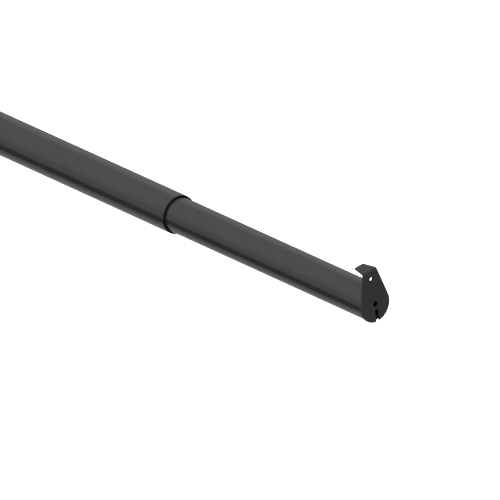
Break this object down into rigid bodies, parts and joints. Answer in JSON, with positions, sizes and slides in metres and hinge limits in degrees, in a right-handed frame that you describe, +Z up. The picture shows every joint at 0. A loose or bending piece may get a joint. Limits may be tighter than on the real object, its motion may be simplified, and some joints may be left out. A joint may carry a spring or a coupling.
{
  "type": "telescoping door bar",
  "caption": "Telescoping round steel bar with a hooked, slotted plate at each end, for holding a sliding door shut.",
  "frame": {"origin": "on the tubes' axis, at the outside face of the outer tube's end plate", "axes": "+X along the bar from the outer tube's plate to the inner tube's plate, +Z up towards the hook tabs"},
  "size_m": [0.9916, 0.0351, 0.0481],
  "materials": {
    "tube_steel": "satin black powder coat on steel tube",
    "plate_steel": "flat black coat on stamped steel plate",
    "collar_steel": "blackened drawn steel",
    "rivet_steel": "black coated steel rivets",
    "screw_steel": "black oxide steel",
    "bush_plastic": "black moulded nylon",
    "glide_plastic": "natural nylon"
  },
  "bodies": {
    "outer_bar": {"outer_tube": "tube_steel", "outer_end_plate": "plate_steel", "outer_end_collar": "collar_steel", "outer_end_rivets": "rivet_steel", "guide_bush": "bush_plastic", "lock_boss": "tube_steel"},
    "lock_pad": {"lock_pad": "glide_plastic"},
    "lock_screw": {"lock_screw": "screw_steel"},
    "glide": {"glide_ring": "glide_plastic"},
    "inner_bar": {"inner_tube": "tube_steel", "inner_end_plate": "plate_steel", "inner_end_collar": "collar_steel", "inner_end_rivets": "rivet_steel", "glide_plug": "bush_plastic", "glide_plug_pins": "screw_steel", "glide_washer": "screw_steel", "glide_screw": "screw_steel"}
  },
  "joints": [
    {"name": "bar_slide", "type": "slide", "parent": "outer_bar", "child": "glide", "axis": [1, 0, 0], "range_m": [-0.2296, 0.2276]},
    {"name": "bar_twist", "type": "hinge", "parent": "glide", "child": "inner_bar", "pos_m": [0.2822, 0, 0], "axis": [1, 0, 0], "continuous": true},
    {"name": "lock_pad_travel", "type": "slide", "parent": "outer_bar", "child": "lock_pad", "axis": [0, 0.7071, -0.7071], "range_m": [0, 0.002]},
    {"name": "lock_screw_turn", "type": "hinge", "parent": "lock_pad", "child": "lock_screw", "pos_m": [0.7442, 0.01273, -0.01273], "axis": [0, 0.7071, -0.7071], "range_deg": [0, 720]}
  ],
  "couplings": [
    {"joint": "lock_screw_turn", "follows": "lock_pad_travel", "rad_per_m": 6283.2}
  ]
}
